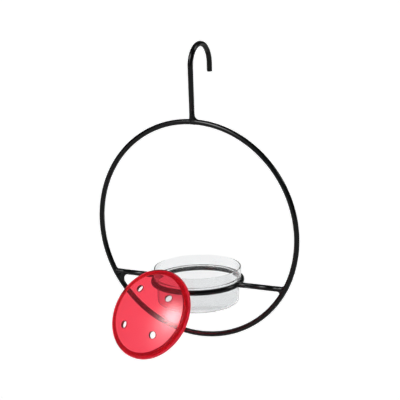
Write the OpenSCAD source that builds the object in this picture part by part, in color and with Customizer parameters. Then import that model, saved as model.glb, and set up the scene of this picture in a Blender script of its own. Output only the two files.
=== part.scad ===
// Hanging nectar feeder: a welded wire frame, a clear bowl in its ring, and a ported lid taken off.
// Units are millimetres, +Z is up, and the origin is where the hook bears on what it hangs from.
// The lid faces the front, which is -Y.

/* [Wire frame] */
// Thickness of the wire rod
rod_d = 6; // [4:0.5:7]
// Outer width of the hoop
hoop_d = 250; // [220:1:300]
// Level of the perches and the ring below the middle of the hoop
perch_drop = 59; // [45:1:65]
// Free width between the two legs of the hook
hook_gap = 40; // [30:0.5:50]
// Length of the hook's stem above the hoop
stem_len = 57; // [30:1:90]
// Length of the straight end of the hook
tip_len = 11; // [5:1:20]
// Chamfer on the end of the hook
tip_chamfer = 0.6; // [0.2:0.1:1.5]

/* [Welds] */
// How far the surface of a weld bead lies inside that of the rod
weld_inset = 0.25; // [0.2:0.05:0.6]
// Bend radius of the bead on the right of the hook's foot
hook_bead_right = 9; // [6:0.5:11]
// Bend radius of the bead on the left of the hook's foot
hook_bead_left = 6; // [5:0.5:11]
// Bend radius of the bead above the left perch
left_bead_above = 7; // [5:0.5:12]
// Bend radius of the bead below the left perch
left_bead_below = 9; // [4.5:0.5:11]
// Bend radius of the bead above the right perch
right_bead_above = 10; // [5:0.5:12]
// Bend radius of the bead below the right perch
right_bead_below = 5; // [4.5:0.5:11]
// Bend radius of the beads between perch and ring
ring_bead = 6; // [5:0.5:8]

/* [Bowl] */
// Outer width of the bowl's collar
bowl_d = 98; // [88:1:108]
// Wall thickness of the bowl
bowl_wall = 1.4; // [1.2:0.2:3]
// Depth of the bowl below the middle of the ring
bowl_depth = 26; // [18:1:32]
// Height of the rim above the middle of the ring
rim_h = 16; // [12:0.5:20]
// Outer radius of the bowl's bottom corner
bottom_round = 6; // [4:0.5:9]
// Radius on the collar's lower edge
collar_round = 0.8; // [0.4:0.1:1.2]
// How far the collar reaches over the inside of the ring
ledge_grip = 2.5; // [2:0.1:2.8]
// Gap between the bowl's body and the inside of the ring
body_gap = 0.5; // [0.4:0.1:1]
// Gap between the collar and the ring it sits on
seat_gap = 0.25; // [0.2:0.05:0.4]

/* [Lid] */
// Wall thickness of the lid's skirt
lid_wall = 1.8; // [1.2:0.1:2.2]
// Wall thickness of the lid's dome
dome_wall = 3.2; // [2.4:0.1:3.6]
// Gap between the bowl's collar and the lid's skirt
lid_fit = 0.2; // [0.2:0.05:0.8]
// Height of the lid's dome above its open edge
lid_h = 15; // [13:0.5:20]
// Straight height of the lid's skirt
skirt_h = 2; // [1.5:0.5:4]
// Outer radius of the lid's shoulder
shoulder_round = 4; // [3:0.5:5]
// Height above the open edge of the rest that sits on the bowl's rim
rest_h = 2.5; // [1.5:0.5:4]
// Width of that rest
rest_w = 4.6; // [3:0.1:5.5]
// Width of a feeding port
port_d = 8; // [6:0.2:11]
// Width of the circle that the ports lie on
port_circle_d = 61; // [45:1:66]
// Turn of the ports about the lid's own axis
port_turn = 39.5; // [0:0.5:90]
// Number of feeding ports
port_count = 4; // [3:1:5]

/* [Lid at rest] */
// Lean of the lid back from upright
lid_lean = 34; // [20:1:36]
// Turn of the lid's face to the left of straight ahead
lid_turn = 12.2; // [0:0.2:20]
// Shift of the lid to the left of the bowl's middle
lid_shift = 2; // [0:0.5:10]
// Height of the lid's lower edge above the foot of the hoop
lid_rise = 4; // [0:0.5:10]
// Gap between the lid's upper edge and the way that the bowl lifts out
lid_clear = 0.5; // [0.4:0.1:4]

/* [Hidden] */
rod_r = rod_d / 2;
hoop_r = hoop_d / 2 - rod_r;
bend_r = (hook_gap + rod_d) / 2;
bend_z = hoop_d / 2 + stem_len;
seat_z = bend_z + bend_r - rod_r;
perch_z = -perch_drop;
weld_r = rod_r - weld_inset;
collar_r = bowl_d / 2;
ring_r = collar_r - ledge_grip + rod_r;
body_r = ring_r - rod_r - body_gap;
collar_reach = max(0, ring_r - collar_r + collar_round);
ledge_z = sqrt(pow(rod_r + collar_round + seat_gap, 2) - pow(collar_reach, 2)) - collar_round;
skirt_r = collar_r + lid_fit;
rest_r = skirt_r - rest_w;
lid_r = skirt_r + lid_wall;
shoulder_x = lid_r - shoulder_round;
dome_rise = lid_h - skirt_h;
dome_r = (pow(shoulder_x, 2) + pow(dome_rise, 2) - pow(shoulder_round, 2))
    / (2 * (dome_rise - shoulder_round));
dome_z = lid_h - dome_r;
port_tilt = asin(port_circle_d / 2 / dome_r);
lid_dist = collar_r + lid_clear + lid_r * sin(lid_lean);
foot_z = -hoop_d / 2;
over = 1;
bend_facets = 360;
$fn = 96;

// Places what is drawn about the middle of the hoop
module from_hoop() {
    translate([0, -bend_r, -seat_z]) children();
}

// Places what is drawn about the middle of the ring
module from_ring() {
    from_hoop() translate([0, 0, perch_z]) children();
}

// Stands a drawing from the XY plane up into the XZ plane
module upright() {
    rotate([90, 0, 0]) children();
}

// A rod bent round a full circle in the XY plane
module round_rod(radius) {
    rotate_extrude($fn = bend_facets) translate([radius, 0]) circle(r = rod_r);
}

module hoop_rod() {
    upright() round_rod(hoop_r);
}

module ring_rod() {
    translate([0, 0, perch_z]) round_rod(ring_r);
}

module stem_rod() {
    translate([0, 0, hoop_r]) cylinder(r = rod_r, h = bend_z - hoop_r);
}

// A perch along +X, long enough to run into the ring and the hoop
module perch_rod() {
    reach = sqrt(pow(hoop_r, 2) - pow(perch_z, 2));
    translate([ring_r, 0, perch_z]) rotate([0, 90, 0]) cylinder(r = rod_r, h = reach - ring_r);
}

// A bent bead in the XY plane, from one angle to a larger one
module bead(x, y, radius, from_angle, to_angle) {
    translate([x, y, 0])
        rotate([0, 0, from_angle])
            rotate_extrude(angle = to_angle - from_angle) translate([radius, 0]) circle(r = weld_r);
}

// The bead between the stem on the Y axis and the outside of the hoop, on the +X side
module hook_bead(radius) {
    y = sqrt(pow(hoop_r + radius, 2) - pow(radius, 2));
    bead(radius, y, radius, 180, 180 + atan2(y, radius));
}

// The bead above a perch, in the corner that it makes with the inside of the hoop
module bead_above(radius) {
    y = perch_z + radius;
    x = sqrt(pow(hoop_r - radius, 2) - pow(y, 2));
    bead(x, y, radius, -90, atan2(y, x));
}

// The bead below a perch
module bead_below(radius) {
    y = perch_z - radius;
    x = sqrt(pow(hoop_r - radius, 2) - pow(y, 2));
    bead(x, y, radius, atan2(y, x), 90);
}

// The bead behind a perch, in the corner that it makes with the outside of the ring
module bead_behind(radius) {
    x = sqrt(pow(ring_r + radius, 2) - pow(radius, 2));
    bead(x, radius, radius, 180 + atan2(radius, x), 270);
}

// The two beads at the outer end of the +X perch
module hoop_weld(above, below) {
    difference() {
        upright() {
            bead_above(above);
            bead_below(below);
        }
        hoop_rod();
        perch_rod();
    }
}

// The two beads at the inner end of the +X perch
module ring_weld() {
    difference() {
        translate([0, 0, perch_z]) {
            bead_behind(ring_bead);
            mirror([0, 1, 0]) bead_behind(ring_bead);
        }
        ring_rod();
        perch_rod();
    }
}

// The +X perch, cut to the ring and the hoop
module perch() {
    difference() {
        perch_rod();
        hoop_rod();
        ring_rod();
    }
}

// Half section of the bowl's outside, about the middle of the ring
module bowl_outer() {
    translate([0, -bowl_depth]) square([body_r - bottom_round, bowl_depth + rim_h]);
    translate([0, bottom_round - bowl_depth]) square([body_r, bowl_depth + rim_h - bottom_round * 2]);
    translate([body_r - bottom_round, bottom_round - bowl_depth]) circle(r = bottom_round);
    translate([0, ledge_z]) square([collar_r - collar_round, rim_h - ledge_z - bowl_wall]);
    translate([0, ledge_z + collar_round])
        square([collar_r, rim_h - ledge_z - collar_round - bowl_wall / 2]);
    translate([collar_r - collar_round, ledge_z + collar_round]) circle(r = collar_round);
    translate([collar_r - bowl_wall / 2, rim_h - bowl_wall / 2]) circle(r = bowl_wall / 2);
}

// Half section of the bowl's hollow
module bowl_inner() {
    floor_z = bowl_wall - bowl_depth;
    inner_r = body_r - bowl_wall;
    inner_round = bottom_round - bowl_wall;
    translate([0, floor_z]) square([inner_r - inner_round, bowl_depth + rim_h]);
    translate([0, floor_z + inner_round]) square([inner_r, bowl_depth + rim_h]);
    translate([inner_r - inner_round, floor_z + inner_round]) circle(r = inner_round);
    translate([0, ledge_z + bowl_wall]) square([collar_r - bowl_wall, bowl_depth + rim_h]);
}

// Half section of the lid's outside: skirt, shoulder and dome
module lid_outer() {
    intersection() {
        union() {
            square([lid_r, skirt_h]);
            translate([shoulder_x, skirt_h]) circle(r = shoulder_round);
            intersection() {
                translate([0, dome_z]) circle(r = dome_r);
                polygon([
                    [0, dome_z],
                    [shoulder_x * 2, dome_z + (skirt_h - dome_z) * 2],
                    [0, lid_h * 2]
                ]);
            }
        }
        square([lid_r, lid_h]);
    }
}

// Half section of the lid's hollow, with the rest that sits on the bowl's rim
module lid_inner() {
    intersection() {
        translate([0, dome_z]) circle(r = dome_r - dome_wall);
        square([rest_r, lid_h]);
    }
    translate([0, -over]) square([skirt_r, rest_h + over]);
}

// The lid about the middle of its open edge, dome up
module lid_shell() {
    difference() {
        rotate_extrude() difference() {
            lid_outer();
            lid_inner();
        }
        for (i = [0 : port_count - 1])
            rotate([0, 0, port_turn + i * 360 / port_count])
                translate([0, 0, dome_z])
                    rotate([0, port_tilt, 0])
                        translate([0, 0, dome_r - dome_wall * 2])
                            cylinder(d = port_d, h = dome_wall * 3);
    }
}

module hoop() {
    color("#1b1b1c") from_hoop() hoop_rod();
}

module hook() {
    color("#1b1b1c") from_hoop() {
        difference() {
            stem_rod();
            hoop_rod();
        }
        translate([0, bend_r, bend_z])
            rotate([90, 0, 90])
                rotate_extrude(angle = 180) translate([bend_r, 0]) circle(r = rod_r);
        translate([0, bend_r * 2, bend_z - tip_len]) {
            translate([0, 0, tip_chamfer]) cylinder(r = rod_r, h = tip_len - tip_chamfer);
            cylinder(r1 = rod_r - tip_chamfer, r2 = rod_r, h = tip_chamfer);
        }
    }
}

module left_perch() {
    color("#1b1b1c") from_hoop() mirror([1, 0, 0]) perch();
}

module right_perch() {
    color("#1b1b1c") from_hoop() perch();
}

module holder_ring() {
    color("#1b1b1c") from_hoop() ring_rod();
}

module hook_weld() {
    color("#262627") from_hoop() difference() {
        upright() {
            hook_bead(hook_bead_right);
            mirror([1, 0, 0]) hook_bead(hook_bead_left);
        }
        hoop_rod();
        stem_rod();
    }
}

module left_hoop_weld() {
    color("#262627") from_hoop() mirror([1, 0, 0]) hoop_weld(left_bead_above, left_bead_below);
}

module right_hoop_weld() {
    color("#262627") from_hoop() hoop_weld(right_bead_above, right_bead_below);
}

module left_ring_weld() {
    color("#262627") from_hoop() mirror([1, 0, 0]) ring_weld();
}

module right_ring_weld() {
    color("#262627") from_hoop() ring_weld();
}

module bowl() {
    color("#e4ecef", 0.4) from_ring() rotate_extrude() difference() {
        bowl_outer();
        bowl_inner();
    }
}

// Upright in front of the bowl, leaning back towards it
module lid() {
    color("#d8232f", 0.7) from_hoop()
        rotate([0, 0, -lid_turn])
            translate([-lid_shift, -lid_dist, foot_z + lid_rise + lid_r * cos(lid_lean)])
                rotate([90 - lid_lean, 0, 0])
                    lid_shell();
}

hoop();
hook();
left_perch();
right_perch();
holder_ring();
hook_weld();
left_hoop_weld();
right_hoop_weld();
left_ring_weld();
right_ring_weld();
bowl();
lid();
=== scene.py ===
"""Looks of a hanging nectar feeder: a black wire frame, a clear bowl in its ring and a red lid taken off."""

import math

import bmesh
import bpy
from mathutils import Matrix, Vector, noise


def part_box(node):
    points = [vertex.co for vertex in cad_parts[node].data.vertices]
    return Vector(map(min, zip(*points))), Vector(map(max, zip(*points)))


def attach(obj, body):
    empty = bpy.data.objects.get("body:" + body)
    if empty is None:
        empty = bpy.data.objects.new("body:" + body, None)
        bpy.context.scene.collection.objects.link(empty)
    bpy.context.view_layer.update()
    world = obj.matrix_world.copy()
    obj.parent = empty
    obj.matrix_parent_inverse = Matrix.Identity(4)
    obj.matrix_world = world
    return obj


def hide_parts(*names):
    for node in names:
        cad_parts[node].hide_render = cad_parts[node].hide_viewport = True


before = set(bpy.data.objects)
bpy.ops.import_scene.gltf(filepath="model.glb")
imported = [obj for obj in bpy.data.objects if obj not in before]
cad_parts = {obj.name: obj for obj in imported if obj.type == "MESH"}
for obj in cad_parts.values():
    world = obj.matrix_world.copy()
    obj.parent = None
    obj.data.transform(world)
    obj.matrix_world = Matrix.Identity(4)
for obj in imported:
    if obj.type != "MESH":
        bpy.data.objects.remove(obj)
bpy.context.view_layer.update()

MM = 0.001
X_AXIS = Vector((1, 0, 0))
Y_AXIS = Vector((0, 1, 0))
Z_AXIS = Vector((0, 0, 1))

# Wire frame: radii run to the middle of the rod
ROD_R = 3 * MM
HOOP_R = 122 * MM
RING_R = 49.5 * MM
BEND_R = 23 * MM
TIP_LENGTH = 11 * MM
TIP_ROUND = 0.6 * MM
ROD_SIDES = 40
HOOP_STEPS = 360
RING_STEPS = 200
BEND_STEPS = 72

# Welds: bend radii of the beads in the corners, for a perch those above and below it
BEAD_R = 2.75 * MM
HOOK_BEAD_RIGHT = 9 * MM
HOOK_BEAD_LEFT = 6 * MM
LEFT_BEADS = (7 * MM, 9 * MM)
RIGHT_BEADS = (10 * MM, 5 * MM)
RING_BEAD = 6 * MM
BEAD_STEPS = 24

# Skin over a weld: how far it stands proud, tucks under at its ends, and reaches past the rods' joint
SKIN_PROUD = 0.14 * MM
SKIN_TUCK = 0.3 * MM
SKIN_PAST = 2 * MM
SKIN_STEPS = 16
SKIN_VOXEL = 0.36 * MM
SKIN_SMOOTHING = 14
SMOOTHING_STRENGTH = 0.5
LUMP_HEIGHT = 0.16 * MM
LUMP_WIDTH = 3.2 * MM

# Reach of that skin along the straight rod, and in degrees along the round one
HOOK_SKIN = 12 * MM
HOOK_SKIN_TURN = (5, -6)
HOOP_SKIN = 16 * MM
HOOP_SKIN_TURN = (-6, 7)
RING_SKIN = 13 * MM
RING_SKIN_TURN = (-12, 12)

# Bowl: heights run from the middle of the ring
COLLAR_R = 49 * MM
BODY_R = 46 * MM
BOWL_WALL = 1.4 * MM
BOWL_DEPTH = 26 * MM
RIM_HEIGHT = 16 * MM
BOTTOM_ROUND = 6 * MM
COLLAR_ROUND = 0.8 * MM
STEP_ROUND = 0.4 * MM
SEAT_GAP = 0.25 * MM
BOWL_SIDES = 224

# Lid: heights run from its open edge
LID_R = 51 * MM
LID_WALL = 1.8 * MM
DOME_WALL = 3.2 * MM
LID_HEIGHT = 15 * MM
SKIRT_HEIGHT = 2 * MM
SHOULDER_ROUND = 4 * MM
RIM_WIDTH = 6 * MM
EDGE_ROUND = 0.45 * MM
REST_WIDTH = 4.6 * MM
REST_HEIGHT = 2.5 * MM
REST_ROUND = 0.3 * MM
LID_SIDES = 256
PORT_R = 4 * MM
PORT_CIRCLE_R = 30.5 * MM
PORT_EASE = 0.15 * MM
PORT_TURN = math.radians(39.5)
PORT_COUNT = 4
PORT_SIDES = 72
LID_LEAN = math.radians(34)
LID_TURN = math.radians(12.2)
LID_SHIFT = 2 * MM
LID_CLEAR = 0.5 * MM
LID_RISE = 4 * MM

# Sections: spacing of points along straights, how near to the axis counts as on it, and steps in rounds
SECTION_STEP = 1.4 * MM
ON_AXIS = 0.001 * MM
DOME_STEPS = 44
RIM_STEPS = 16
CORNER_STEPS = 14
INNER_CORNER_STEPS = 12
COLLAR_STEPS = 8
EDGE_STEPS = 6

# A corner sharper than this on the lid shows as an edge
SHARP_ANGLE = math.radians(30)


def middle(node):
    low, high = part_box(node)
    return (low + high) / 2


HOOP_MID = middle("hoop")
RING_MID = middle("holder_ring")
FOOT_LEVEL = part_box("hoop")[0].z
PERCH_LEVEL = RING_MID.z - HOOP_MID.z
BEND_MID = Vector((HOOP_MID.x, HOOP_MID.y + BEND_R, ROD_R - BEND_R))


# Drawing

def arc(mid, radius, start, end, steps):
    """Points in a plane on a circle about mid, between two angles in degrees."""
    angles = [math.radians(start + (end - start) * i / steps) for i in range(steps + 1)]
    return [(mid[0] + radius * math.cos(a), mid[1] + radius * math.sin(a)) for a in angles]


def section(*stretches):
    """Joins stretches of points into one line, with the long straights between them divided."""
    corners = [point for stretch in stretches for point in stretch]
    line = [corners[0]]
    for (x0, y0), (x1, y1) in zip(corners, corners[1:]):
        parts = max(1, round(math.hypot(x1 - x0, y1 - y0) / SECTION_STEP))
        line += [(x0 + (x1 - x0) * i / parts, y0 + (y1 - y0) * i / parts) for i in range(1, parts + 1)]
    return line


def join_rings(mesh, first, second):
    """Faces between two rings of vertices, either of which may be a single point on the axis."""
    count = max(len(first), len(second))
    for i in range(count):
        j = (i + 1) % count
        corners = [first[i % len(first)], first[j % len(first)]]
        corners += [second[j % len(second)], second[i % len(second)]]
        mesh.faces.new(list(dict.fromkeys(corners)))


def shade_smooth(data):
    data.polygons.foreach_set("use_smooth", [True] * len(data.polygons))


def make_object(name, mesh, place=Matrix.Identity(4)):
    """Turns a bmesh into a smooth object whose mesh is in world coordinates."""
    mesh.transform(place)
    bmesh.ops.recalc_face_normals(mesh, faces=mesh.faces)
    data = bpy.data.meshes.new(name)
    mesh.to_mesh(data)
    mesh.free()
    shade_smooth(data)
    piece = bpy.data.objects.new(name, data)
    bpy.context.scene.collection.objects.link(piece)
    bpy.context.view_layer.update()
    return piece


def apply_modifiers(piece):
    """Gives a piece the smooth mesh that its modifiers make."""
    graph = bpy.context.evaluated_depsgraph_get()
    data = bpy.data.meshes.new_from_object(piece.evaluated_get(graph))
    piece.modifiers.clear()
    piece.data = data
    shade_smooth(data)


def lathe(mesh, line, sides, place=Matrix.Identity(4)):
    """Turns a line that starts and ends on the Z axis into a closed solid."""
    rings = []
    for radius, height in line:
        turns = [2 * math.pi * i / sides for i in range(sides)] if radius > ON_AXIS else [0]
        points = [Vector((radius * math.cos(a), radius * math.sin(a), height)) for a in turns]
        rings.append([mesh.verts.new(place @ point) for point in points])
    for first, second in zip(rings, rings[1:]):
        join_rings(mesh, first, second)


def sweep(mesh, points, flat_normal, radii, closed=False):
    """Sweeps a circle along points that lie in one plane. An open sweep is capped."""
    rings = []
    last = len(points) - 1
    for i, point in enumerate(points):
        before = points[i - 1] if i or closed else point
        after = points[(i + 1) % len(points)] if i < last or closed else point
        across = flat_normal.cross(after - before).normalized()
        turns = [2 * math.pi * k / ROD_SIDES for k in range(ROD_SIDES)]
        outward = [math.cos(a) * across + math.sin(a) * flat_normal for a in turns]
        rings.append([mesh.verts.new(point + radii[i] * way) for way in outward])
    for first, second in zip(rings, rings[1:] + rings[:1] if closed else rings[1:]):
        join_rings(mesh, first, second)
    if not closed:
        mesh.faces.new(rings[0])
        mesh.faces.new(rings[-1])


def upright_points(points, mid=HOOP_MID):
    """Stands points from a drawing about mid up into the XZ plane."""
    return [mid + Vector((x, 0, y)) for x, y in points]


def level_points(points, mid=RING_MID):
    """Lays points from a drawing about mid into the XY plane."""
    return [mid + Vector((x, y, 0)) for x, y in points]


def finish_piece(piece, material, slot, body, *nodes):
    """Dresses a piece that has no material yet, hides the parts that it stands in for, and hangs it on the
    body it rides on.
    """
    if not piece.data.materials:
        piece.data.materials.append(material)
    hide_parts(*nodes)
    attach(piece, body)


# Materials

# Part of a random field's range that is used: its tails are cut off
FIELD_RANGE = (0.3, 0.7)

# Colours between which each surface is mottled
COAT_COLOURS = ((0.002, 0.002, 0.0022), (0.004, 0.004, 0.0043))
WELD_COLOURS = ((0.002, 0.002, 0.0022), (0.005, 0.005, 0.0053))
CLEAR_COLOURS = ((0.86, 0.87, 0.875), (0.89, 0.9, 0.905))
RED_COLOURS = ((1.0, 0.145, 0.205), (1.0, 0.155, 0.22))
# Rest for the bowl's rim: a dark crimson that is painted shade
REST_SHADE_COLOURS = ((0.85, 0.003, 0.005), (0.95, 0.004, 0.007))
# Rim: a deeper red that is painted shade
RIM_SHADE_COLOURS = ((0.78, 0.065, 0.12), (0.84, 0.08, 0.145))
# Port walls: a near black red that is painted shade
PORT_SHADE_COLOURS = ((0.1, 0.001, 0.002), (0.14, 0.002, 0.003))

# Roughness between which each surface varies
COAT_ROUGHNESS = (0.11, 0.19)
WELD_ROUGHNESS = (0.18, 0.3)
CLEAR_ROUGHNESS = (0.0, 0.02)
RED_ROUGHNESS = (0.02, 0.06)
REST_ROUGHNESS = (0.2, 0.3)
RIM_ROUGHNESS = (0.05, 0.1)
PORT_ROUGHNESS = (0.1, 0.2)

# Share of light that each plastic lets through, and how strongly it bends light
CLEAR_CLEARNESS = 0.97
RED_CLEARNESS = 0.93
REST_CLEARNESS = 0.65
RIM_CLEARNESS = 0.9
PORT_CLEARNESS = 0.7
CLEAR_BEND = 1.2
RED_BEND = 1.49
# The rim bends light weakly, so that it shows little reflection
RIM_BEND = 1.12

# Colour that the red plastic keeps, and how much it takes from the rest in each metre
RED_DEPTH = ((0.99, 0.03, 0.16), 200.0)

# Powder coat: strength of its sheen, depth of its dimples, and how much deeper its slow waves are
COAT_SHEEN = 0.33
COAT_PEEL = 0.012 * MM
WELD_PEEL = 0.02 * MM
WAVES_TO_PEEL = 3

# Depth of the flow waves in the plastics, and of the grain on matt faces
CLEAR_WAVES = 0.06 * MM
RED_WAVES = 0.12 * MM
GRAIN_DEPTH = 0.01 * MM


def start_material(name):
    """A new material, its node tree and its main shader."""
    material = bpy.data.materials.new(name)
    material.use_nodes = True
    tree = material.node_tree
    return material, tree, tree.nodes["Principled BSDF"]


def set_values(node, **values):
    """Sets a node's inputs by name, with underscores for the spaces."""
    for name, value in values.items():
        node.inputs[name.replace("_", " ")].default_value = value


def add_node(tree, kind, **values):
    """Adds a node, with its input values by name."""
    node = tree.nodes.new(kind)
    set_values(node, **values)
    return node


def noise_field(tree, size, detail, stretch=(1, 1, 1)):
    """A soft random field between 0 and 1, with features of about the given size."""
    coords = tree.nodes.new("ShaderNodeTexCoord")
    mapping = add_node(tree, "ShaderNodeMapping", Scale=stretch)
    field = add_node(tree, "ShaderNodeTexNoise", Scale=1 / size, Detail=detail)
    tree.links.new(coords.outputs["Object"], mapping.inputs["Vector"])
    tree.links.new(mapping.outputs["Vector"], field.inputs["Vector"])
    return field.outputs["Fac"]


def spread(tree, field, low, high):
    """Maps the middle of a random field to a range of values."""
    span = tree.nodes.new("ShaderNodeMapRange")
    start, end = FIELD_RANGE
    set_values(span, From_Min=start, From_Max=end, To_Min=low, To_Max=high)
    tree.links.new(field, span.inputs["Value"])
    return span.outputs["Result"]


def blend_colours(tree, field, first, second):
    """Maps the middle of a random field to the colours between two."""
    ramp = tree.nodes.new("ShaderNodeValToRGB")
    for stop, position, colour in zip(ramp.color_ramp.elements, FIELD_RANGE, (first, second)):
        stop.position = position
        stop.color = (*colour, 1)
    tree.links.new(field, ramp.inputs["Fac"])
    return ramp.outputs["Color"]


def add_bump(tree, shader, *layers):
    """Stacks bump layers, each a height field and how deep it is."""
    normal = None
    for field, depth in layers:
        bump = add_node(tree, "ShaderNodeBump", Strength=1.0, Distance=depth)
        tree.links.new(field, bump.inputs["Height"])
        if normal:
            tree.links.new(normal, bump.inputs["Normal"])
        normal = bump.outputs["Normal"]
    tree.links.new(normal, shader.inputs["Normal"])


def powder_coat(name, colours, roughness, peel):
    """Black baked powder: a faint mottle, uneven gloss and the fine dimples of the coat."""
    material, tree, shader = start_material(name)
    mottle = noise_field(tree, size=14 * MM, detail=3)
    dimples = noise_field(tree, size=0.9 * MM, detail=2)
    waves = noise_field(tree, size=5 * MM, detail=1)
    tree.links.new(blend_colours(tree, mottle, *colours), shader.inputs["Base Color"])
    tree.links.new(spread(tree, waves, *roughness), shader.inputs["Roughness"])
    set_values(shader, Specular_IOR_Level=COAT_SHEEN)
    add_bump(tree, shader, (waves, peel * WAVES_TO_PEEL), (dimples, peel))
    return material


def absorb(tree, colour, density):
    """Colour that deepens with the thickness of the plastic."""
    volume = add_node(tree, "ShaderNodeVolumeAbsorption", Color=(*colour, 1), Density=density)
    tree.links.new(volume.outputs["Volume"], tree.nodes["Material Output"].inputs["Volume"])


def clear_plastic():
    """Moulded clear plastic with slight flow waves and a handled, not quite even gloss."""
    material, tree, shader = start_material("clear_plastic")
    haze = noise_field(tree, size=22 * MM, detail=4)
    flow = noise_field(tree, size=30 * MM, detail=2, stretch=(1, 1, 2.5))
    tree.links.new(blend_colours(tree, haze, *CLEAR_COLOURS), shader.inputs["Base Color"])
    tree.links.new(spread(tree, haze, *CLEAR_ROUGHNESS), shader.inputs["Roughness"])
    set_values(shader, IOR=CLEAR_BEND, Transmission_Weight=CLEAR_CLEARNESS)
    add_bump(tree, shader, (flow, CLEAR_WAVES))
    return material


def red_plastic():
    """See-through red plastic: colour in the wall, flow waves and a soft polished surface."""
    material, tree, shader = start_material("red_plastic")
    haze = noise_field(tree, size=26 * MM, detail=4)
    flow = noise_field(tree, size=34 * MM, detail=2)
    tree.links.new(blend_colours(tree, haze, *RED_COLOURS), shader.inputs["Base Color"])
    tree.links.new(spread(tree, haze, *RED_ROUGHNESS), shader.inputs["Roughness"])
    set_values(shader, IOR=RED_BEND, Transmission_Weight=RED_CLEARNESS)
    add_bump(tree, shader, (flow, RED_WAVES))
    absorb(tree, *RED_DEPTH)
    return material


def painted_shade_red(name, colours, roughness, clearness, bend=RED_BEND):
    """A darker, grainy face of the red plastic, whose dark colour is painted shade."""
    material, tree, shader = start_material(name)
    grain = noise_field(tree, size=0.5 * MM, detail=3)
    tree.links.new(blend_colours(tree, grain, *colours), shader.inputs["Base Color"])
    tree.links.new(spread(tree, grain, *roughness), shader.inputs["Roughness"])
    set_values(shader, IOR=bend, Transmission_Weight=clearness)
    add_bump(tree, shader, (grain, GRAIN_DEPTH))
    absorb(tree, *RED_DEPTH)
    return material


# Wire frame

def circle_points(radius, steps):
    return arc((0, 0), radius, 0, 360, steps)[:-1]


def hoop_rod():
    mesh = bmesh.new()
    points = upright_points(circle_points(HOOP_R, HOOP_STEPS))
    sweep(mesh, points, Y_AXIS, [ROD_R] * len(points), closed=True)
    return make_object("hoop_rod", mesh)


def ring_rod():
    mesh = bmesh.new()
    points = level_points(circle_points(RING_R, RING_STEPS))
    sweep(mesh, points, Z_AXIS, [ROD_R] * len(points), closed=True)
    return make_object("holder_ring_rod", mesh)


def hook_rod():
    """The stem, its bend and the rounded end, in one bent rod."""
    bend = [BEND_MID + Vector((0, y, z)) for y, z in arc((0, 0), BEND_R, 180, 0, BEND_STEPS)]
    stem = [Vector((HOOP_MID.x, HOOP_MID.y, HOOP_MID.z + HOOP_R))]
    tip_end = bend[-1] - Z_AXIS * TIP_LENGTH
    rounding = [(TIP_ROUND - depth, side) for side, depth in arc((0, 0), TIP_ROUND, 0, 90, EDGE_STEPS)]
    tip = [tip_end + Z_AXIS * height for height, _ in rounding]
    radii = [ROD_R] * (len(stem) + len(bend)) + [ROD_R - TIP_ROUND + side for _, side in rounding]
    mesh = bmesh.new()
    sweep(mesh, stem + bend + tip, X_AXIS, radii)
    return make_object("hook_rod", mesh)


def perch_reach():
    """Distance from the middle to where a perch's own middle line meets the hoop's."""
    return math.sqrt(HOOP_R ** 2 - PERCH_LEVEL ** 2)


def perch_rod(name, side):
    """A straight perch from the ring to the hoop, on the +X side or the -X side."""
    mesh = bmesh.new()
    ends = [RING_MID + X_AXIS * side * RING_R, RING_MID + X_AXIS * side * perch_reach()]
    sweep(mesh, ends, Y_AXIS, [ROD_R] * len(ends))
    return make_object(name, mesh)


# Welds

def sleeve(mesh, points, flat_normal):
    """A skin round a rod that dips under its surface at both ends."""
    last = len(points) - 1
    dips = [(2 * i / last - 1) ** 2 for i in range(last + 1)]
    sweep(mesh, points, flat_normal, [ROD_R + SKIN_PROUD - (SKIN_PROUD + SKIN_TUCK) * dip for dip in dips])


def bead(mesh, points, flat_normal):
    """Weld metal of one width that follows a corner."""
    sweep(mesh, points, flat_normal, [BEAD_R] * len(points))


def mirrored(points, side):
    """Points on the right side, or flipped over to the left where side is -1."""
    return [(x * side, y) for x, y in points]


def straight(start, end):
    """Evenly spaced points from start to end."""
    (x0, y0), (x1, y1) = start, end
    steps = range(SKIN_STEPS + 1)
    return [(x0 + (x1 - x0) * i / SKIN_STEPS, y0 + (y1 - y0) * i / SKIN_STEPS) for i in steps]


def melt(piece):
    """Melts overlapping solids into one lumpy skin."""
    remesh = piece.modifiers.new("melt", "REMESH")
    remesh.mode = "VOXEL"
    remesh.voxel_size = SKIN_VOXEL
    settle = piece.modifiers.new("settle", "SMOOTH")
    settle.factor = SMOOTHING_STRENGTH
    settle.iterations = SKIN_SMOOTHING
    apply_modifiers(piece)
    normals = [vertex.normal.copy() for vertex in piece.data.vertices]
    for vertex, normal in zip(piece.data.vertices, normals):
        vertex.co += normal * LUMP_HEIGHT * noise.noise(vertex.co / LUMP_WIDTH)
    return piece


def hook_weld():
    """The weld at the foot of the hook, with more metal on its right."""
    mesh = bmesh.new()
    for radius, side in ((HOOK_BEAD_RIGHT, 1), (HOOK_BEAD_LEFT, -1)):
        height = math.sqrt((HOOP_R + radius) ** 2 - radius ** 2)
        foot = 180 + math.degrees(math.atan2(height, radius))
        points = mirrored(arc((radius, height), radius, 180, foot, BEAD_STEPS), side)
        bead(mesh, upright_points(points), Y_AXIS)
    stem = straight((0, HOOP_R - SKIN_PAST), (0, HOOP_R + HOOK_SKIN))
    sleeve(mesh, upright_points(stem), Y_AXIS)
    start, end = (90 + turn for turn in HOOK_SKIN_TURN)
    sleeve(mesh, upright_points(arc((0, 0), HOOP_R, start, end, BEAD_STEPS)), Y_AXIS)
    return melt(make_object("hook_weld_bead", mesh))


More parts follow.
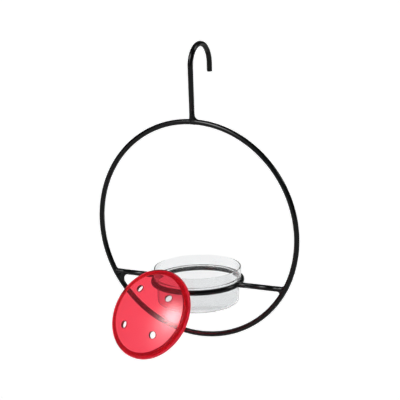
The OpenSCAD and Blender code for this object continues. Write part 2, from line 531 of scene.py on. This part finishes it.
def hoop_weld(name, side, beads):
    """The weld where a perch meets the inside of the hoop, with a bead above and below."""
    mesh = bmesh.new()
    for radius, upward in zip(beads, (1, -1)):
        y = PERCH_LEVEL + upward * radius
        x = math.sqrt((HOOP_R - radius) ** 2 - y ** 2)
        points = arc((x, y), radius, -90 * upward, math.degrees(math.atan2(y, x)), BEAD_STEPS)
        bead(mesh, upright_points(mirrored(points, side)), Y_AXIS)
    reach = perch_reach()
    perch = straight((reach - HOOP_SKIN, PERCH_LEVEL), (reach + SKIN_PAST, PERCH_LEVEL))
    sleeve(mesh, upright_points(mirrored(perch, side)), Y_AXIS)
    joint = math.degrees(math.atan2(PERCH_LEVEL, reach))
    start, end = (joint + turn for turn in HOOP_SKIN_TURN)
    hoop = arc((0, 0), HOOP_R, start, end, BEAD_STEPS)
    sleeve(mesh, upright_points(mirrored(hoop, side)), Y_AXIS)
    return melt(make_object(name, mesh))


def ring_weld(name, side):
    """The weld where a perch meets the outside of the ring, with a bead in front and behind."""
    mesh = bmesh.new()
    out = math.sqrt((RING_R + RING_BEAD) ** 2 - RING_BEAD ** 2)
    start = 180 + math.degrees(math.atan2(RING_BEAD, out))
    for flip in (1, -1):
        points = arc((out, RING_BEAD), RING_BEAD, start, 270, BEAD_STEPS)
        bead(mesh, level_points([(x * side, y * flip) for x, y in points]), Z_AXIS)
    perch = straight((RING_R - SKIN_PAST, 0), (RING_R + RING_SKIN, 0))
    sleeve(mesh, level_points(mirrored(perch, side)), Z_AXIS)
    ring = arc((0, 0), RING_R, *RING_SKIN_TURN, BEAD_STEPS)
    sleeve(mesh, level_points(mirrored(ring, side)), Z_AXIS)
    return melt(make_object(name, mesh))


# Bowl and lid

def ledge_height():
    """Height at which the collar's rounded corner rests on the ring."""
    reach = ROD_R + SEAT_GAP + COLLAR_ROUND
    return math.sqrt(reach ** 2 - (RING_R - COLLAR_R + COLLAR_ROUND) ** 2) - COLLAR_ROUND


def bowl_section():
    """From the middle of the underside, out and up over the rim, and back down to the inner floor."""
    inner_body = BODY_R - BOWL_WALL
    inner_round = BOTTOM_ROUND - BOWL_WALL
    inner_floor = BOWL_WALL - BOWL_DEPTH
    rim_round = BOWL_WALL / 2
    ledge = ledge_height()
    inner_ledge = ledge + BOWL_WALL
    inner_collar = COLLAR_R - BOWL_WALL
    return section(
        [(0, -BOWL_DEPTH)],
        arc((BODY_R - BOTTOM_ROUND, BOTTOM_ROUND - BOWL_DEPTH), BOTTOM_ROUND, -90, 0, CORNER_STEPS),
        arc((BODY_R + STEP_ROUND, ledge - STEP_ROUND), STEP_ROUND, 180, 90, EDGE_STEPS),
        arc((COLLAR_R - COLLAR_ROUND, ledge + COLLAR_ROUND), COLLAR_ROUND, -90, 0, COLLAR_STEPS),
        arc((COLLAR_R - rim_round, RIM_HEIGHT - rim_round), rim_round, 0, 180, RIM_STEPS),
        arc((inner_collar - STEP_ROUND, inner_ledge + STEP_ROUND), STEP_ROUND, 0, -90, EDGE_STEPS),
        arc((inner_body + STEP_ROUND, inner_ledge - STEP_ROUND), STEP_ROUND, 90, 180, EDGE_STEPS),
        arc((inner_body - inner_round, inner_floor + inner_round), inner_round, 0, -90, INNER_CORNER_STEPS),
        [(0, inner_floor)],
    )


def bowl_shell():
    mesh = bmesh.new()
    lathe(mesh, bowl_section(), BOWL_SIDES)
    return make_object("bowl_shell", mesh, Matrix.Translation(RING_MID))


def dome():
    """Radius of the lid's dome and the height of its centre, so that it runs smoothly into the shoulder."""
    rise = LID_HEIGHT - SKIRT_HEIGHT
    shoulder_x = LID_R - SHOULDER_ROUND
    radius = (shoulder_x ** 2 + rise ** 2 - SHOULDER_ROUND ** 2) / (2 * (rise - SHOULDER_ROUND))
    return radius, LID_HEIGHT - radius


def lid_section():
    """From the top of the dome, out and down to the open edge, and back up inside past the rest."""
    dome_r, dome_z = dome()
    shoulder_x = LID_R - SHOULDER_ROUND
    lean = math.degrees(math.atan2(SKIRT_HEIGHT - dome_z, shoulder_x))
    inner_r = LID_R - LID_WALL
    inner_dome = dome_r - DOME_WALL
    rest_r = inner_r - REST_WIDTH
    return section(
        arc((0, dome_z), dome_r, 90, lean, DOME_STEPS),
        arc((shoulder_x, SKIRT_HEIGHT), SHOULDER_ROUND, lean, 0, CORNER_STEPS),
        arc((LID_R - EDGE_ROUND, EDGE_ROUND), EDGE_ROUND, 0, -90, EDGE_STEPS),
        arc((inner_r + EDGE_ROUND, EDGE_ROUND), EDGE_ROUND, -90, -180, EDGE_STEPS),
        arc((inner_r - REST_ROUND, REST_HEIGHT - REST_ROUND), REST_ROUND, 0, 90, EDGE_STEPS),
        arc((rest_r + REST_ROUND, REST_HEIGHT + REST_ROUND), REST_ROUND, -90, -180, EDGE_STEPS),
        arc((0, dome_z), inner_dome, math.degrees(math.acos(rest_r / inner_dome)), 90, DOME_STEPS),
    )


def port_cutter(edge_material):
    """A drill with eased edges for each port, square to the dome. They leave their material on the walls."""
    dome_r, dome_z = dome()
    outside, inside = dome_r, dome_r - DOME_WALL
    clear = 2 * DOME_WALL
    flare = PORT_R + PORT_EASE
    drill = [
        (0, inside - clear),
        (flare + clear, inside - clear),
        (flare, inside),
        (PORT_R, inside + PORT_EASE),
        (PORT_R, outside - PORT_EASE),
        (flare, outside),
        (flare + clear, outside + clear),
        (0, outside + clear),
    ]
    tilt = Matrix.Rotation(math.asin(PORT_CIRCLE_R / dome_r), 4, "Y")
    mesh = bmesh.new()
    for i in range(PORT_COUNT):
        turn = Matrix.Rotation(PORT_TURN + 2 * math.pi * i / PORT_COUNT, 4, "Z")
        lathe(mesh, drill, PORT_SIDES, turn @ Matrix.Translation((0, 0, dome_z)) @ tilt)
    cutter = make_object("port_cutter", mesh)
    cutter.data.materials.append(edge_material)
    return cutter


def lid_place():
    """The lid's own frame at rest, upright in front of the bowl and leaning back towards it."""
    turn = Matrix.Rotation(-LID_TURN, 4, "Z")
    distance = COLLAR_R + LID_CLEAR + LID_R * math.sin(LID_LEAN)
    rise = FOOT_LEVEL - HOOP_MID.z + LID_RISE + LID_R * math.cos(LID_LEAN)
    stand = Matrix.Translation((-LID_SHIFT, -distance, rise))
    lean = Matrix.Rotation(math.radians(90) - LID_LEAN, 4, "X")
    return Matrix.Translation(HOOP_MID) @ turn @ stand @ lean


def on_rest(face):
    """Whether a face of the lid is part of the rest for the bowl's rim."""
    inner_r = LID_R - LID_WALL
    radius = math.hypot(face.center.x, face.center.y)
    if not inner_r - REST_WIDTH <= radius <= inner_r:
        return False
    return REST_HEIGHT - REST_ROUND <= face.center.z <= REST_HEIGHT + LID_WALL


def on_rim(face):
    """Whether a face of the lid is on the outside of its rim."""
    outward = Vector((face.center.x, face.center.y, 0)).dot(face.normal) > 0
    return outward and math.hypot(face.center.x, face.center.y) >= LID_R - RIM_WIDTH


def colour_lid(piece, plastic, rest_plastic, rim_plastic):
    """Gives the rest and the rim their own materials, whose darker colours are painted shade."""
    for material in (plastic, rest_plastic, rim_plastic):
        piece.data.materials.append(material)
    for face in piece.data.polygons:
        if on_rest(face):
            face.material_index = 1
        elif on_rim(face):
            face.material_index = 2


def drill_ports(piece, port_plastic):
    """Cuts the ports, whose walls get their own dark material: painted shade."""
    cutter = port_cutter(port_plastic)
    drill = piece.modifiers.new("ports", "BOOLEAN")
    drill.operation = "DIFFERENCE"
    drill.solver = "EXACT"
    drill.material_mode = "TRANSFER"
    drill.object = cutter
    apply_modifiers(piece)
    bpy.data.objects.remove(cutter)


def lid_shell(plastic, rest_plastic, rim_plastic, port_plastic):
    """The lid, made level about its own axis, drilled, and then put in its place."""
    mesh = bmesh.new()
    lathe(mesh, lid_section(), LID_SIDES)
    piece = make_object("lid_shell", mesh)
    colour_lid(piece, plastic, rest_plastic, rim_plastic)
    drill_ports(piece, port_plastic)
    piece.data.set_sharp_from_angle(angle=SHARP_ANGLE)
    piece.data.transform(lid_place())
    return piece


# Stage

# Floor: how far it is below the frame, its size in metres, and the glow that makes it look white
FLOOR_DROP = 330 * MM
FLOOR_RADIUS = 40.0
FLOOR_SIDES = 96
FLOOR_COLOUR = (0.82, 0.82, 0.82, 1)
FLOOR_GLOW = 0.57

# Studio: its own level, and soft boxes by heading, height and width at half level in degrees, then level
STUDIO_LEVEL = 0.05
SOFT_BOXES = ((-21, 43, 8.5, 14), (-24, 30, 13, 3.5))

# Lamp behind on the right: the direction that it shines from, how wide it is, and its strength
LAMP_FROM = Vector((0.75, 0.5, 0.55))
LAMP_ANGLE = math.radians(16)
LAMP_STRENGTH = 0.5

# Camera: its place from the middle of the hoop, how it is turned, and its lens in millimetres
CAMERA_FROM_HOOP = Vector((701.5, -1336.7, 396.5)) * MM
CAMERA_YAW = math.radians(27.48)
CAMERA_PITCH = math.radians(13.52)
CAMERA_ROLL = math.radians(-2.01)
CAMERA_LENS = 125.73

# Most times that light may bounce on its way
LIGHT_BOUNCES = 64


def calculate(tree, operation, *terms):
    """A step of arithmetic, on sockets or plain numbers."""
    step = tree.nodes.new("ShaderNodeMath")
    step.operation = operation
    for slot, term in zip(step.inputs, terms):
        if isinstance(term, (int, float)):
            slot.default_value = term
        else:
            tree.links.new(term, slot)
    return step.outputs["Value"]


def largest(tree, *sockets):
    """The largest of several values."""
    result = sockets[0]
    for socket in sockets[1:]:
        result = calculate(tree, "MAXIMUM", result, socket)
    return result


def floor_material():
    """Pale floor that shows white to the camera and through the part, and still takes shadows."""
    material = bpy.data.materials.new("stage_floor")
    material.use_nodes = True
    tree = material.node_tree
    tree.nodes.clear()
    path = tree.nodes.new("ShaderNodeLightPath").outputs
    seen = largest(tree, path["Is Camera Ray"], path["Is Transmission Ray"])
    glow = tree.nodes.new("ShaderNodeEmission")
    tree.links.new(calculate(tree, "MULTIPLY", seen, FLOOR_GLOW), glow.inputs["Strength"])
    matte = add_node(tree, "ShaderNodeBsdfDiffuse", Color=FLOOR_COLOUR)
    both = tree.nodes.new("ShaderNodeAddShader")
    tree.links.new(matte.outputs["BSDF"], both.inputs[0])
    tree.links.new(glow.outputs["Emission"], both.inputs[1])
    output = tree.nodes.new("ShaderNodeOutputMaterial")
    tree.links.new(both.outputs["Shader"], output.inputs["Surface"])
    return material


def lay_floor():
    mesh = bmesh.new()
    bmesh.ops.create_circle(mesh, cap_ends=True, radius=FLOOR_RADIUS, segments=FLOOR_SIDES)
    floor = make_object("stage_floor", mesh, Matrix.Translation((0, 0, FOOT_LEVEL - FLOOR_DROP)))
    floor.data.materials.append(floor_material())


def soft_box(tree, heading, height, width, level):
    """Light from one part of the studio, falling off smoothly to half its level at the given width."""
    heading, height, width = math.radians(heading), math.radians(height), math.radians(width)
    towards = Vector((
        math.sin(heading) * math.cos(height),
        -math.cos(heading) * math.cos(height),
        math.sin(height),
    ))
    sharpness = math.log(2) / (1 - math.cos(width))
    direction = tree.nodes.new("ShaderNodeTexCoord").outputs["Generated"]
    facing = tree.nodes.new("ShaderNodeVectorMath")
    facing.operation = "DOT_PRODUCT"
    facing.inputs[1].default_value = towards
    tree.links.new(direction, facing.inputs[0])
    fall = calculate(tree, "MULTIPLY_ADD", facing.outputs["Value"], sharpness, -sharpness)
    return calculate(tree, "MULTIPLY", calculate(tree, "EXPONENT", fall), level)


def light_world():
    """A dim studio with soft boxes at the front left. What shows behind the part and through it is white."""
    world = bpy.data.worlds.new("studio")
    bpy.context.scene.world = world
    world.use_nodes = True
    tree = world.node_tree
    path = tree.nodes.new("ShaderNodeLightPath").outputs
    behind = largest(tree, path["Is Camera Ray"], path["Is Transmission Ray"])
    strength = calculate(tree, "MULTIPLY_ADD", behind, 1 - STUDIO_LEVEL, STUDIO_LEVEL)
    bounced = calculate(tree, "SUBTRACT", 1, path["Is Camera Ray"])
    for box in SOFT_BOXES:
        strength = calculate(tree, "MULTIPLY_ADD", soft_box(tree, *box), bounced, strength)
    background = tree.nodes["Background"].inputs
    background["Color"].default_value = (1, 1, 1, 1)
    tree.links.new(strength, background["Strength"])


def hang_light(name, towards, angle, strength):
    """A soft lamp far away in the given direction."""
    lamp = bpy.data.lights.new(name, "SUN")
    lamp.angle = angle
    lamp.energy = strength
    light = bpy.data.objects.new(name, lamp)
    bpy.context.scene.collection.objects.link(light)
    light.rotation_euler = towards.to_track_quat("Z", "Y").to_euler()


def set_camera():
    """Aims the camera by its yaw, pitch and roll. It looks along its own -Z axis."""
    back = Vector((
        math.sin(CAMERA_YAW) * math.cos(CAMERA_PITCH),
        -math.cos(CAMERA_YAW) * math.cos(CAMERA_PITCH),
        math.sin(CAMERA_PITCH),
    ))
    level = Vector((math.cos(CAMERA_YAW), math.sin(CAMERA_YAW), 0))
    rise = back.cross(level)
    right = math.cos(CAMERA_ROLL) * level + math.sin(CAMERA_ROLL) * rise
    up = math.cos(CAMERA_ROLL) * rise - math.sin(CAMERA_ROLL) * level
    camera = bpy.data.objects.new("camera", bpy.data.cameras.new("camera"))
    bpy.context.scene.collection.objects.link(camera)
    aim = Matrix((right, up, back)).transposed().to_4x4()
    camera.matrix_world = Matrix.Translation(HOOP_MID + CAMERA_FROM_HOOP) @ aim
    camera.data.lens = CAMERA_LENS
    bpy.context.scene.camera = camera


def let_light_through():
    """Lets light bounce along inside the clear walls until it gets out."""
    paths = bpy.context.scene.cycles
    paths.max_bounces = LIGHT_BOUNCES
    paths.transmission_bounces = LIGHT_BOUNCES
    paths.glossy_bounces = LIGHT_BOUNCES


def build_frame():
    """Rods and welds, all riding on the one rigid body."""
    coat = powder_coat("frame_coat", COAT_COLOURS, COAT_ROUGHNESS, COAT_PEEL)
    weld_coat = powder_coat("weld_coat", WELD_COLOURS, WELD_ROUGHNESS, WELD_PEEL)
    finish_piece(hoop_rod(), coat, "frame_metal", "frame", "hoop")
    finish_piece(hook_rod(), coat, "frame_metal", "frame", "hook")
    finish_piece(ring_rod(), coat, "frame_metal", "frame", "holder_ring")
    finish_piece(hook_weld(), weld_coat, "weld_metal", "frame", "hook_weld")
    for word, side, beads in (("left", -1, LEFT_BEADS), ("right", 1, RIGHT_BEADS)):
        perch = perch_rod(f"{word}_perch_rod", side)
        finish_piece(perch, coat, "frame_metal", "frame", f"{word}_perch")
        outer = hoop_weld(f"{word}_hoop_weld_bead", side, beads)
        finish_piece(outer, weld_coat, "weld_metal", "frame", f"{word}_hoop_weld")
        inner = ring_weld(f"{word}_ring_weld_bead", side)
        finish_piece(inner, weld_coat, "weld_metal", "frame", f"{word}_ring_weld")


def build_bowl():
    finish_piece(bowl_shell(), clear_plastic(), "clear_plastic", "bowl", "bowl")


def build_lid():
    """The lid, in clear red with its own materials for the rest, the rim and the walls of the ports, whose
    darker colours are painted shade.
    """
    red = red_plastic()
    rest = painted_shade_red("rest_painted_shade", REST_SHADE_COLOURS, REST_ROUGHNESS, REST_CLEARNESS)
    rim = painted_shade_red("rim_painted_shade", RIM_SHADE_COLOURS, RIM_ROUGHNESS, RIM_CLEARNESS, RIM_BEND)
    port = painted_shade_red("port_wall_painted_shade", PORT_SHADE_COLOURS, PORT_ROUGHNESS, PORT_CLEARNESS)
    finish_piece(lid_shell(red, rest, rim, port), red, "red_plastic", "lid", "lid")


build_frame()
build_bowl()
build_lid()
lay_floor()
light_world()
hang_light("rim", LAMP_FROM, LAMP_ANGLE, LAMP_STRENGTH)
set_camera()
let_light_through()
bpy.context.scene.view_settings.view_transform = "Standard"
